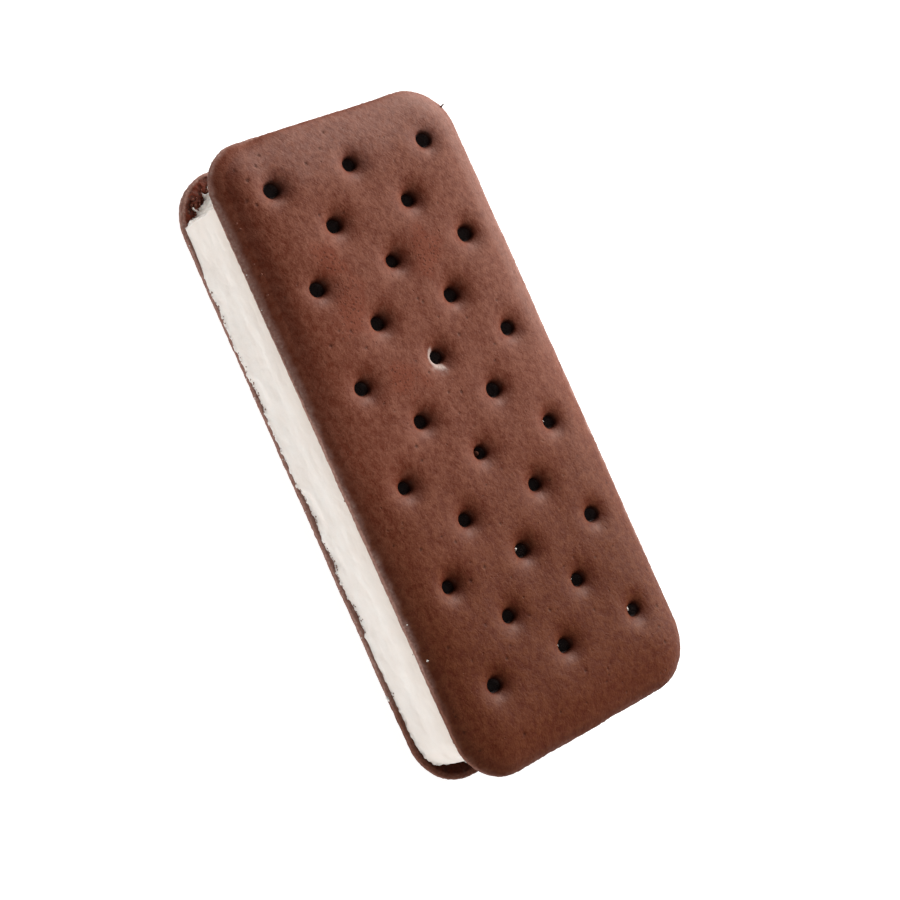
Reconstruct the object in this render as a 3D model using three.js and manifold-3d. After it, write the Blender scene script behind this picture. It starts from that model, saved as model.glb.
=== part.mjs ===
// An ice cream sandwich: a slab of vanilla ice cream between two soft chocolate wafers, lying flat.
// Millimetres, +Z up. X runs along the sandwich and Y across it. The origin is the middle of its footprint,
// on the surface it lies on. Each wafer is a soft-baked plate with a flat inner face, a short upright side, a
// rounded shoulder and a pattern of docking holes. The lower wafer is turned over, and baked a little shorter.

import * as THREE from "three";
import { mergeVertices } from "three/addons/utils/BufferGeometryUtils.js";
import Module from "manifold-3d";

// Wafer plate
const waferLength = { top: 120, bottom: 117 };
const waferWidth = 56.4;
const waferCorner = 9.8; // radius of the outline's corners
const waferThickness = 3.7;
const sideHeight = 1.1; // upright part of the side, next to the ice cream
const shoulderWidth = 3.7; // how far the rounded shoulder reaches in over the face
const shoulderSteps = 4;
const cornerSteps = 8;
const slip = -0.1; // how far the lower wafer's middle is from the upper one's, along X

// Docking holes: rows of three and rows of two by turns, eleven rows in all
const holeRows = 11;
const rowPitch = 9.44;
const holePitch = 18.04; // between the holes of one row
const patternShift = { x: -2.55, y: 1.1 }; // the pattern is pressed a little off the plate's middle
const holeRadius = 1.45;
const throatRadius = 1.8;
const throatDepth = 1.15; // below the face, where the hole becomes straight
const dimpleRadius = 4.7; // the shallow hollow that the pin draws down around each hole
const dimpleDepth = 0.5;
const dimpleMidRadius = 2.7;
const holeSides = 12;

// Ice cream slab, a little smaller than the wafers
const creamThickness = 11.3;
const creamEnds = { left: -57.6, right: 55 }; // along X
const creamHalfWidth = 28;
const creamCorner = 6.2;
const tornCorner = { along: 7, across: 11.6 }; // what is missing of its corner at -X, -Y
const tornHollow = 0.3; // how far the tear is hollowed inwards
const creamSwell = 0.2; // how far its sides wander in and out
const creamWaves = { slow: 6, quick: 17 }; // swells round the whole slab
const creamSteps = 128; // points round the slab

const waferMaterial = new THREE.MeshStandardMaterial({ color: 0x6e4033, roughness: 0.75, metalness: 0 });
const creamMaterial = new THREE.MeshStandardMaterial({ color: 0xebe4dd, roughness: 0.5, metalness: 0 });

const wasm = await Module();
wasm.setup();

function toSolid(geometry) {
  const plain = geometry.index ? geometry.toNonIndexed() : geometry.clone();
  plain.deleteAttribute("normal");
  plain.deleteAttribute("uv");
  const merged = mergeVertices(plain, 1e-4);
  return new wasm.Manifold(
    new wasm.Mesh({
      numProp: 3,
      vertProperties: merged.attributes.position.array,
      triVerts: new Uint32Array(merged.index.array),
    }),
  );
}

function toGeometry(solid) {
  const mesh = solid.getMesh();
  const geometry = new THREE.BufferGeometry();
  geometry.setAttribute("position", new THREE.BufferAttribute(new Float32Array(mesh.vertProperties), 3));
  geometry.setIndex(new THREE.BufferAttribute(new Uint32Array(mesh.triVerts), 1));
  geometry.computeVertexNormals();
  return geometry;
}

function roundedRectangle(length, width, radius) {
  const x = length / 2 - radius;
  const y = width / 2 - radius;
  const quarter = Math.PI / 2;
  const shape = new THREE.Shape();
  shape.absarc(x, -y, radius, -quarter, 0);
  shape.absarc(x, y, radius, 0, quarter);
  shape.absarc(-x, y, radius, quarter, 2 * quarter);
  shape.absarc(-x, -y, radius, 2 * quarter, 3 * quarter);
  shape.closePath();
  return shape;
}

// The plate's inner face lies at z = 0. The extrusion is rounded on both faces, and the half with the inner
// shoulder is cut away.
function waferBlank(length) {
  const extrusion = new THREE.ExtrudeGeometry(roundedRectangle(length, waferWidth, waferCorner), {
    depth: 2 * sideHeight,
    bevelThickness: waferThickness - sideHeight,
    bevelSize: shoulderWidth,
    bevelOffset: -shoulderWidth,
    bevelSegments: shoulderSteps,
    curveSegments: cornerSteps,
  });
  extrusion.translate(0, 0, -sideHeight);
  const keep = new THREE.BoxGeometry(2 * length, 2 * waferWidth, 2 * waferThickness);
  keep.translate(0, 0, waferThickness);
  return toSolid(extrusion).intersect(toSolid(keep));
}

// What a docking pin leaves out of the plate: a shallow dimple, a throat and a straight hole right through.
function pinCutter() {
  const over = 1; // the cutter runs this far past both faces
  const slope = (dimpleDepth * 0.55) / (dimpleRadius - dimpleMidRadius);
  const profile = [
    new THREE.Vector2(0, -over),
    new THREE.Vector2(holeRadius, -over),
    new THREE.Vector2(holeRadius, waferThickness - throatDepth),
    new THREE.Vector2(throatRadius, waferThickness - dimpleDepth),
    new THREE.Vector2(dimpleMidRadius, waferThickness - dimpleDepth * 0.55),
    new THREE.Vector2(dimpleRadius + over, waferThickness + slope * over),
    new THREE.Vector2(0, waferThickness + slope * over),
  ];
  return toSolid(new THREE.LatheGeometry(profile, holeSides).rotateX(Math.PI / 2));
}

function holeCentres() {
  const centres = [];
  for (let row = 0; row < holeRows; row += 1) {
    const count = row % 2 === 0 ? 3 : 2;
    for (let hole = 0; hole < count; hole += 1) {
      centres.push({
        x: patternShift.x + (row - (holeRows - 1) / 2) * rowPitch,
        y: patternShift.y + (hole - (count - 1) / 2) * holePitch,
      });
    }
  }
  return centres;
}

function waferGeometry(length) {
  const cutter = pinCutter();
  const cutters = holeCentres().map((centre) => cutter.translate([centre.x, centre.y, 0]));
  return toGeometry(waferBlank(length).subtract(wasm.Manifold.union(cutters)));
}

// Three rounded corners, and the torn one: a slightly hollow slant from one side to the other.
function evenCreamOutline() {
  const { left, right } = creamEnds;
  const side = creamHalfWidth;
  const quarter = Math.PI / 2;
  const tearStart = new THREE.Vector2(left, -side + tornCorner.across);
  const tearEnd = new THREE.Vector2(left + tornCorner.along, -side);
  const tearMiddle = tearStart.clone().lerp(tearEnd, 0.5).addScalar(2 * tornHollow);
  const shape = new THREE.Shape();
  shape.moveTo(tearEnd.x, tearEnd.y);
  shape.absarc(right - creamCorner, -side + creamCorner, creamCorner, -quarter, 0);
  shape.absarc(right - creamCorner, side - creamCorner, creamCorner, 0, quarter);
  shape.absarc(left + creamCorner, side - creamCorner, creamCorner, quarter, 2 * quarter);
  shape.lineTo(tearStart.x, tearStart.y);
  shape.quadraticCurveTo(tearMiddle.x, tearMiddle.y, tearEnd.x, tearEnd.y);
  return shape;
}

// The even outline, moved in and out a little along its own normal.
function creamOutline() {
  const even = evenCreamOutline().getSpacedPoints(creamSteps).slice(0, -1);
  const centre = new THREE.Vector2();
  return even.map((point, step) => {
    const before = even[(step + even.length - 1) % even.length];
    const after = even[(step + 1) % even.length];
    const outward = after.clone().sub(before).normalize().rotateAround(centre, -Math.PI / 2);
    const turn = (step / creamSteps) * 2 * Math.PI;
    const wave = 0.6 * Math.sin(creamWaves.slow * turn) + 0.4 * Math.sin(creamWaves.quick * turn + 1);
    return point.clone().addScaledVector(outward, creamSwell * wave);
  });
}

function creamGeometry() {
  const shape = new THREE.Shape(creamOutline());
  return new THREE.ExtrudeGeometry(shape, { depth: creamThickness, bevelEnabled: false });
}

function piece(name, geometry, material) {
  const mesh = new THREE.Mesh(geometry, material);
  mesh.name = name;
  return mesh;
}

const sandwich = new THREE.Group();

const bottomWafer = piece("bottom_wafer", waferGeometry(waferLength.bottom), waferMaterial);
bottomWafer.position.set(slip, 0, waferThickness);
bottomWafer.rotation.x = Math.PI; // turned over, so that its shoulder faces down

const iceCream = piece("ice_cream", creamGeometry(), creamMaterial);
iceCream.position.z = waferThickness;

const topWafer = piece("top_wafer", waferGeometry(waferLength.top), waferMaterial);
topWafer.position.z = waferThickness + creamThickness;

sandwich.add(bottomWafer, iceCream, topWafer);

export default sandwich;
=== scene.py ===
import math
import random

import bmesh
import bpy
from mathutils import Euler, Matrix, Vector, kdtree, noise


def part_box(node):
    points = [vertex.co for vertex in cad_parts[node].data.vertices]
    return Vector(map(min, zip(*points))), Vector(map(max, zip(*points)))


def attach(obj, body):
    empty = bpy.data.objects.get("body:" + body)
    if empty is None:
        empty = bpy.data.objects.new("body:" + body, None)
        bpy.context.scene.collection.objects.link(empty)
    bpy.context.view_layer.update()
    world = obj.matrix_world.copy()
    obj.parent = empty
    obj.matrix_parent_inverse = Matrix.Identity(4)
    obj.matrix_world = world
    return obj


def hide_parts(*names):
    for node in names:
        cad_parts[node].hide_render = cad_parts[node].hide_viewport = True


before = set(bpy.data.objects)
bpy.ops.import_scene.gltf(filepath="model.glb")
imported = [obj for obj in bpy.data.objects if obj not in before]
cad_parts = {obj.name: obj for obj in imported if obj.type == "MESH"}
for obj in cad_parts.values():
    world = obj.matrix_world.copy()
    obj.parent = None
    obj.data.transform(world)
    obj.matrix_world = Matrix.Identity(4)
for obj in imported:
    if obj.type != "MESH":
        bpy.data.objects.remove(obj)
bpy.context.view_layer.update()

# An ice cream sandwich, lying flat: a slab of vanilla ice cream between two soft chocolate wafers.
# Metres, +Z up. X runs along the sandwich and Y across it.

mm = 0.001
print("frame loaded:", sorted(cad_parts))


# Helpers

def smoothStep(low, high, value):
    part = min(max((value - low) / (high - low), 0), 1)
    return part * part * (3 - 2 * part)


def fadeOut(low, high, value):
    return 1 - smoothStep(low, high, value)


# A number for each kind of random waves
seeds = {
    "pitEdge": 21, "dustAndPaintedLight": 23, "sheenEnd": 24, "frostEdge": 27, "frostFlecks": 28, "grainyEdge": 29,
    "creamSwell": 31, "creamStreaks": 32, "creamGrain": 33, "tear": 34, "bites": 35, "smears": 36,
    "powder": 37, "teeth": 38, "drawnBack": 39, "lumps": 3,
}
seedStep = (17.3, 5.1, 9.7)  # each seed reads the noise this much further on


def waves(place, size, seed, detail=3):
    # Soft random waves from about -1 to 1, of about this size
    point = Vector(place) / size + Vector([seed * step for step in seedStep])
    return noise.fractal(point, 1.0, 2.0, detail, noise_basis="PERLIN_ORIGINAL")


def ripple(heightAndSize, place, seed, detail=3):
    height, size = heightAndSize
    return height * waves(place, size, seed, detail)


def twoWaves(place, sizes, seed):
    # Coarse waves with finer ones on them
    return waves(place, sizes[0], seed) + 0.5 * waves(place, sizes[1], seed + 1)


def newObject(name, bm):
    mesh = bpy.data.meshes.new(name)
    bm.to_mesh(mesh)
    bm.free()
    made = bpy.data.objects.new(name, mesh)
    bpy.context.scene.collection.objects.link(made)
    return made


def bakeModifiers(piece):
    graph = bpy.context.evaluated_depsgraph_get()
    mesh = bpy.data.meshes.new_from_object(piece.evaluated_get(graph))
    piece.modifiers.clear()
    old = piece.data
    piece.data = mesh
    mesh.name = piece.name
    bpy.data.meshes.remove(old)


def remesh(piece, voxel):
    # One even skin over all that the piece is made of
    skin = piece.modifiers.new("skin", "REMESH")
    skin.mode = "VOXEL"
    skin.voxel_size = voxel
    bakeModifiers(piece)


def relax(bm, verts, factor):
    bmesh.ops.smooth_vert(bm, verts=verts, factor=factor, use_axis_x=True, use_axis_y=True, use_axis_z=True)


def roundEdges(bm, edges, radius, steps):
    bmesh.ops.bevel(bm, geom=edges, offset=radius, offset_type="OFFSET", affect="EDGES",
                    segments=steps, profile=0.5, material=-1)


def roundCorner(bm, corner, radius, steps):
    # The upright edge at this corner
    upright = [e for e in bm.edges if all((v.co.xy - corner).length < 0.01 * mm for v in e.verts)]
    roundEdges(bm, upright, radius, steps)


def dropLoose(bm):
    # Only the largest connected part stays
    left = set(bm.verts)
    parts = []
    while left:
        part = []
        front = [left.pop()]
        while front:
            vert = front.pop()
            part.append(vert)
            for edge in vert.link_edges:
                other = edge.other_vert(vert)
                if other in left:
                    left.remove(other)
                    front.append(other)
        parts.append(part)
    for part in sorted(parts, key=len)[:-1]:
        bmesh.ops.delete(bm, geom=part, context="VERTS")


def triangleCount(piece):
    return sum(len(face.vertices) - 2 for face in piece.data.polygons)


def thin(piece, triangles):
    # Flat and hidden faces give up their triangles first
    count = triangleCount(piece)
    if count > triangles:
        fewer = piece.modifiers.new("thin", "DECIMATE")
        fewer.ratio = triangles / count
        bakeModifiers(piece)


def writeMark(piece, name, values):
    # One number for each point, which a material reads by this name
    piece.data.attributes.new(name, "FLOAT", "POINT").data.foreach_set("value", values)


def finishPiece(piece, material, slot, *nodes):
    piece.data.materials.clear()
    piece.data.materials.append(material)
    piece.data.shade_smooth()
    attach(piece, "root")
    if nodes:
        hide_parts(*nodes)
    print(piece.name, triangleCount(piece), "triangles")


lumpShape = {"squash": (0.65, 1.25), "rough": 0.35}


def lump(bm, place, radius, dice, rings=2):
    # A crumb or a blob: an icosphere, squashed and knocked about
    turn = Euler([dice.uniform(0, 2 * math.pi) for _ in range(3)]).to_matrix().to_4x4()
    squash = Matrix.Diagonal([dice.uniform(*lumpShape["squash"]) for _ in range(3)] + [1])
    middle = Vector(place)
    made = bmesh.ops.create_icosphere(bm, subdivisions=rings, radius=radius,
                                      matrix=Matrix.Translation(middle) @ turn @ squash)
    for vert in made["verts"]:
        knocked = waves(vert.co, radius, seeds["lumps"], detail=2)
        vert.co += (vert.co - middle) * lumpShape["rough"] * knocked


def linear(code):
    # sRGB hex to the linear colour that the shaders read
    channels = [int(code[i:i + 2], 16) / 255 for i in (1, 3, 5)]
    return [c / 12.92 if c <= 0.04045 else ((c + 0.055) / 1.055) ** 2.4 for c in channels] + [1]


def addNode(tree, kind, settings, **links):
    # Lower-case settings belong to the node, the others to its sockets. A link named _2 goes to socket 2
    node = tree.nodes.new("ShaderNode" + kind)
    for name, value in settings.items():
        if isinstance(name, str) and name[0].islower():
            setattr(node, name, value)
        else:
            node.inputs[name].default_value = value
    for name, source in links.items():
        index = int(name[1:]) if name[0] == "_" else name.replace("_", " ")
        tree.links.new(source, node.inputs[index])
    return node


def newMaterial(name):
    material = bpy.data.materials.new(name)
    material.use_nodes = True
    material.node_tree.nodes.clear()
    return material, material.node_tree


# Wafers: soft chocolate biscuit plates with rounded corners, a crowned face and docking holes in dimples

wafer = {
    "cornerSteps": 16,
    "rimRound": 1.7 * mm,
    "rimSteps": 6,
    "crown": 2.1 * mm,  # the face falls off this much towards the rim
    "crownReach": 15 * mm,
    "droop": 0.45,  # it falls off more than that at the front left
    "droopAcross": (8 * mm, 20 * mm),
    "droopAlong": (-30 * mm, 0),
    "yaw": -0.3,  # degrees that the turned wafer lies askew
    "rows": 11,  # of three and of two holes by turns
    "rowPitch": 9.44 * mm,
    "holePitch": 18.04 * mm,
    "shift": Vector((-2.55, 1.1)) * mm,
    "mouth": 1.56 * mm,  # radius of a hole at the top
    "foot": 0.8 * mm,  # and at the bottom
    "stretch": 1.2,  # the holes are this much longer across the wafer than along it
    "uneven": 0.08,  # how much their sizes differ
    "stray": 0.08,  # and how far they are off their places, in mm
    "strayAcross": -0.1,
    "pinSides": 24,
    "pinLean": 4,  # degrees
    "skin": 0.5 * mm,  # what the pin leaves between the hole and the ice cream
    "wall": 1.15,  # a hole's wall is what is nearer to its middle than this, as a part of the mouth
    "wallMark": 2,  # its mark called hollow rises from 1 by this down to the inner face
    "relaxed": 0.5,  # how much each smoothing evens out
    "soften": 2,  # how often the holes' rims are smoothed
    "softenFrom": 0.6,  # as a part of the wafer's height
    "softenReach": 1.7,  # as a part of the mouth
    "dimple": 1.14 * mm,  # depth at the hole
    "dimpleVary": (0.8, 1.2),
    "dimpleReach": 3.0 * mm,
    "lip": 0.2 * mm,  # and the steeper funnel next to it
    "lipReach": 0.44 * mm,
    # Unevenness, as the height and the size of its waves
    "wander": (0.16 * mm, 9 * mm),
    "swell": (0.14 * mm, 13 * mm),
    "crumbly": (0.1 * mm, 0.8 * mm),
    "leather": 0.02 * mm,
    "leatherSizes": (1.5 * mm, 0.7 * mm),
    "leatherFrom": (0, 0.3),  # as parts of the way up from the inner face
    "bareRough": 0.2 * mm,  # where the inner face lies bare
    "bareSizes": (0.9 * mm, 0.45 * mm),
    "bareEdge": 0.2,  # and this part of it all along the edge
    "bareEdgeReach": (2 * mm, 4 * mm),
    "bareFull": 0.6,  # a bare spot is full up to this part of its radius
    "grainyFull": 0.3,  # and a grainy one up to this part
    "grainyRagged": (3, 4 * mm),  # the edges of those wander by 3 mm, in waves of 4 mm
    "sideReach": 2.5 * mm,  # how far in the sides' unevenness reaches
    "innerFace": 0.05 * mm,  # the inner face is what is lower than this
    "innerFlat": 0.3 * mm,  # the pins draw down only what is higher than this
    "innerUp": (0.4 * mm, 0.6 * mm),  # the inner face's colour fades out going up
    "innerIn": (0.25 * mm, 0.7 * mm),  # and sets in from the edge
    "pits": 60,
    "pitSpread": 0.48,  # as a part of the wafer's size
    "pitSize": (0.18, 0.34),
    "pitScale": 0.9,  # the large pits are pressed this much smaller
    "pitDepth": 0.15 * mm,
    "pitRagged": (0.35, 0.6 * mm),
    "voxel": 0.3 * mm,
    "triangles": 190000,
}

# The larger pits in the upper wafer's face: X, Y and radius in mm
largePits = [
    (-56.4, -16.7, 0.5), (-54.8, -18.6, 0.45), (-54.0, -4.4, 0.45), (-52.8, -21.6, 0.55),
    (-49.5, -23.3, 0.45), (-48.2, -21.8, 0.45), (-55.2, -22.8, 0.4), (-56.7, -1.8, 0.45),
    (-52.3, -8.8, 0.45), (-42.9, -10.7, 0.4), (-22.9, 1.6, 0.4), (-22.0, 2.5, 0.45),
    (-22.7, -17.3, 0.4), (-21.9, -15.0, 0.4), (-20.8, -20.1, 0.45), (-18.2, -13.4, 0.4),
    (-12.7, -4.4, 0.35), (-10.0, -2.7, 0.4), (-14.2, 7.1, 0.5), (-16.4, 10.4, 0.4),
    (-10.0, 13.8, 0.4), (1.1, -12.1, 0.5), (-7.3, 12.3, 0.35), (-4.5, 2.1, 0.4),
    (26.5, -13.2, 0.5), (25.4, -9.3, 0.5), (34.4, -14.3, 0.4), (41.5, -13.0, 0.4),
    (29.2, -4.7, 0.4), (17.8, -20.3, 0.45), (37.5, 0.2, 0.45), (35.2, -23.3, 0.4),
    (19.2, -12.9, 0.4), (41.2, 9.7, 0.4), (46.3, 24.5, 0.5), (49.8, 22.5, 0.45),
    (52.8, 22.5, 0.45), (50.2, 2.2, 0.4), (39.5, 26.3, 0.4), (54.7, -15.9, 0.45),
    (53.5, -25.5, 0.4), (49.5, -26.8, 0.4),
]

# What differs between the two: the corners' radii, how far the soft sides bulge past the plain plate, and
# spots on their faces as X, Y and radius in mm. The lower one is described as before it is turned over
topPlate = {
    "turned": False,
    "corners": {(-1, -1): 8.8 * mm, (1, -1): 9.4 * mm, (1, 1): 9.8 * mm, (-1, 1): 9.8 * mm},
    "bulge": {"left": -0.15 * mm, "right": 0.28 * mm, "front": 0.28 * mm, "back": 0.6 * mm},
    "largePits": largePits,
    # Where the face is grainy and redder
    "grainy": [(-25.5, -13.0, 6), (-30.0, 7.0, 6.5), (-35.9, -13.5, 4.5), (-10.5, -8.5, 5)],
    "bare": [],
    "frosted": True,
    "seed": 5,
}
bottomPlate = {
    "turned": True,
    "corners": {(-1, -1): 9.4 * mm, (1, -1): 9.4 * mm, (1, 1): 9.2 * mm, (-1, 1): 9.9 * mm},
    "bulge": {"left": 0.12 * mm, "right": 0.45 * mm, "front": 0.4 * mm, "back": 0.42 * mm},
    "largePits": [],
    "grainy": [],
    "bare": [(-55, 24, 10), (54, 25, 9)],  # where the inner face lies bare
    "frosted": False,
    "seed": 8,
}

# Painted sheen: a pale, patchy highlight painted beside each hole, where the dimple's wall faces the lamps,
# and over the face at the end at -X, where the lamps catch it
paintedSheen = {
    "from": Vector((2.5, -0.3, 0)) * mm,
    "size": (0.85 * mm, 1.5 * mm),
    "end": -45 * mm,
    "endFade": 12 * mm,
    "endRagged": (3 * mm, 4 * mm),
    "endAcross": (-27 * mm, -19 * mm),  # it stays off the front corner
    "endSlant": 0.35,
    "slantFrom": -60 * mm,
    "amount": 0.75,
    "faceFrom": (0.3, 0.6),  # as parts of the wafer's height
    "powder": 0.9 * mm,
    "patchiness": (0.85, 0.6),  # how much of it there is on average, and how much that wavers
}

# Painted shade: the crust is painted darker on the far side of each hole, where the dimple's wall faces
# away from the lamps, and on the front shoulder towards -X, which faces away from them too
paintedShade = {
    "from": Vector((1.0, 1.5, 0)) * mm,
    "size": 2.0 * mm,
    "band": 3.2 * mm,  # how far in from the rim
    "bandWidth": 1.9 * mm,
    "bandDark": 0.7,
    "bandAcross": (18 * mm, 24 * mm),
    "bandAlong": (-28 * mm, 0),
}

# The pale side next to the ice cream, which is frost and crumb and also painted light where that side faces
# the bright floor, and a painted sheen that reaches from it over the rim
dustAndPaintedLight = {
    "band": 0.9 * mm,  # height on the side
    "lower": 0.5 * mm,  # it is this much lower at the end at -X
    "lowerFrom": (48 * mm, 55 * mm),
    "fade": 0.9 * mm,
    "depth": 1.5 * mm,
    "ragged": (0.4 * mm, 2.4 * mm),
    "clean": 0.7,  # the side is less pale at +X
    "cleanFrom": (36 * mm, 45 * mm),
    # the rim and the far rim get painted sheen
    "rim": 0.045,
    "rimReach": (0.5 * mm, 4 * mm),
    "far": 0.33,  # there is more of it on the far rim, towards -X
    "farReach": (2.2 * mm, 5 * mm),
    "farAcross": (10 * mm, 22 * mm),
    "farAlong": (-18 * mm, 4 * mm),
}

# Ice cream frozen on to the rim of one of the upper wafer's holes, round from the front to the right
frost = {
    "hole": (4, 1),
    "start": 192,  # degrees round the hole
    "end": 376,
    "thin": 0.55 * mm,  # width where it starts
    "wide": 1.0 * mm,  # and where it ends
    "fade": (0.7, 1.5),  # as parts of the width
    "tips": (0.12, 0.93),  # it is full between these parts of the way round
    "inside": 0.35 * mm,
    "ragged": (0.12 * mm, 0.7 * mm),
    "smear": 2.6 * mm,
    "smearFrom": (0.35, 0.7),  # as parts of the way round
    "smearAmount": 0.45,
    "fleckSize": 0.9 * mm,
    "fleckRange": (-0.1, 0.5),
    "height": 0.1 * mm,
    "down": (1.1, 1.35),  # how far into the hole it goes, as the mark called hollow
}


def holeCount(row):
    return 3 if row % 2 == 0 else 2


def holeCentre(row, place):
    x = wafer["shift"].x + (row - (wafer["rows"] - 1) / 2) * wafer["rowPitch"]
    y = wafer["shift"].y + (place - (holeCount(row) - 1) / 2) * wafer["holePitch"]
    return Vector((x, y, 0))


def dockingHoles(dice):
    holes = []
    for row in range(wafer["rows"]):
        for place in range(holeCount(row)):
            along = dice.gauss(0, wafer["stray"])
            across = dice.gauss(wafer["strayAcross"], wafer["stray"])
            holes.append({
                "middle": holeCentre(row, place) + Vector((along, across, 0)) * mm,
                "grow": 1 + dice.uniform(-1, 1) * wafer["uneven"],
                "depth": dice.uniform(*wafer["dimpleVary"]),
            })
    return holes


def allPits(size, plate, dice):
    pits = [{"place": Vector((x, y, 0)) * mm, "radius": wafer["pitScale"] * radius * mm}
            for x, y, radius in plate["largePits"]]
    far = wafer["pitSpread"]
    for _ in range(wafer["pits"]):
        place = Vector((dice.uniform(-far, far) * size.x, dice.uniform(-far, far) * size.y, 0))
        pits.append({"place": place, "radius": dice.uniform(*wafer["pitSize"]) * mm})
    return pits


def spotTree(places):
    tree = kdtree.KDTree(len(places))
    for index, place in enumerate(places):
        tree.insert(place, index)
    tree.balance()
    return tree


def rimDistance(x, y, size, plate):
    # How far inside the rounded outline a point lies
    radius = plate["corners"][(1 if x > 0 else -1, 1 if y > 0 else -1)]
    dx = abs(x) - (size.x / 2 - radius)
    dy = abs(y) - (size.y / 2 - radius)
    return radius - math.hypot(max(dx, 0), max(dy, 0)) - min(max(dx, dy), 0)


def pinSink(flat, pressed):
    # How far the pins drew the face down at this spot
    sink = 0
    for _, index, away in pressed["holeTree"].find_n(flat, 2):
        hole = pressed["holes"][index]
        beyond = max(away - wafer["mouth"] * hole["grow"], 0)
        sink += hole["depth"] * wafer["dimple"] * math.exp(-(away / wafer["dimpleReach"]) ** 2)
        sink += hole["depth"] * wafer["lip"] * math.exp(-beyond / wafer["lipReach"])
    return sink


def pitDepth(flat, pressed):
    # From 0 beside a pit to 1 in its middle, with an uneven edge
    _, index, away = pressed["pitTree"].find(flat)
    ragged = 1 + ripple(wafer["pitRagged"], flat, seeds["pitEdge"])
    return max(1 - (away / pressed["pits"][index]["radius"] * ragged) ** 2, 0)


def spotAmount(flat, spots, middle, ragged=0):
    # From 0 outside the spots to 1 in the middle part of one
    amount = 0
    for x, y, radius in spots:
        out = (flat / mm - Vector((x, y, 0))).length + ragged
        amount = max(amount, fadeOut(middle * radius, radius, out))
    return amount


def bareAmount(flat, rim, plate):
    # A little all along the inner face's edge, and fully at the bare spots
    edge = wafer["bareEdge"] * fadeOut(*wafer["bareEdgeReach"], rim)
    return max(edge, spotAmount(flat, plate["bare"], wafer["bareFull"]))


def frostAmount(flat):
    # A crescent, and a fainter smear where it ends
    spoke = flat - holeCentre(*frost["hole"])
    turn = (math.degrees(math.atan2(spoke.y, spoke.x)) - frost["start"]) % 360
    part = turn / (frost["end"] - frost["start"])
    if part > 1:
        return 0
    out = spoke.length - wafer["mouth"] + ripple(frost["ragged"], flat, seeds["frostEdge"])
    width = frost["thin"] + (frost["wide"] - frost["thin"]) * part * part
    full, gone = frost["fade"]
    ring = smoothStep(-frost["inside"], 0, out) * fadeOut(width * full, width * gone, out)
    flecks = smoothStep(*frost["fleckRange"], waves(flat, frost["fleckSize"], seeds["frostFlecks"]))
    flecks *= fadeOut(width, frost["smear"], out)
    smear = frost["smearAmount"] * flecks * smoothStep(*frost["smearFrom"], part)
    start, end = frost["tips"]
    return max(ring, smear) * smoothStep(0, start, part) * fadeOut(end, 1, part)


def plainPlate(size, plate):
    # Inner face at z = 0, outer face at the top
    bm = bmesh.new()
    bmesh.ops.create_cube(bm, size=1)
    bmesh.ops.translate(bm, vec=(0, 0, 0.5), verts=bm.verts)
    bmesh.ops.scale(bm, vec=size, verts=bm.verts)
    for (right, back), radius in plate["corners"].items():
        roundCorner(bm, Vector((right * size.x, back * size.y)) / 2, radius, wafer["cornerSteps"])
    top = size.z - 0.01 * mm
    rim = [e for e in bm.edges if min(v.co.z for v in e.verts) > top]
    roundEdges(bm, rim, wafer["rimRound"], wafer["rimSteps"])
    return bm


def dockingPins(holes, size, dice):
    bm = bmesh.new()
    for hole in holes:
        lean = Matrix.Rotation(math.radians(dice.uniform(-wafer["pinLean"], wafer["pinLean"])), 4, "X")
        place = Matrix.Translation(hole["middle"] + Vector((0, 0, wafer["skin"] + size.z / 2))) @ lean
        place = place @ Matrix.Diagonal((1, wafer["stretch"], 1, 1))
        bmesh.ops.create_cone(bm, cap_ends=True, segments=wafer["pinSides"], depth=size.z, matrix=place,
                              radius1=wafer["foot"] * hole["grow"], radius2=wafer["mouth"] * hole["grow"])
    return bm


def sideBulge(outward, plate):
    # What the side that faces this way bulges
    x, y = outward.normalized().xy
    bulge = plate["bulge"]
    return x * x * bulge["right" if x > 0 else "left"] + y * y * bulge["back" if y > 0 else "front"]


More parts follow.
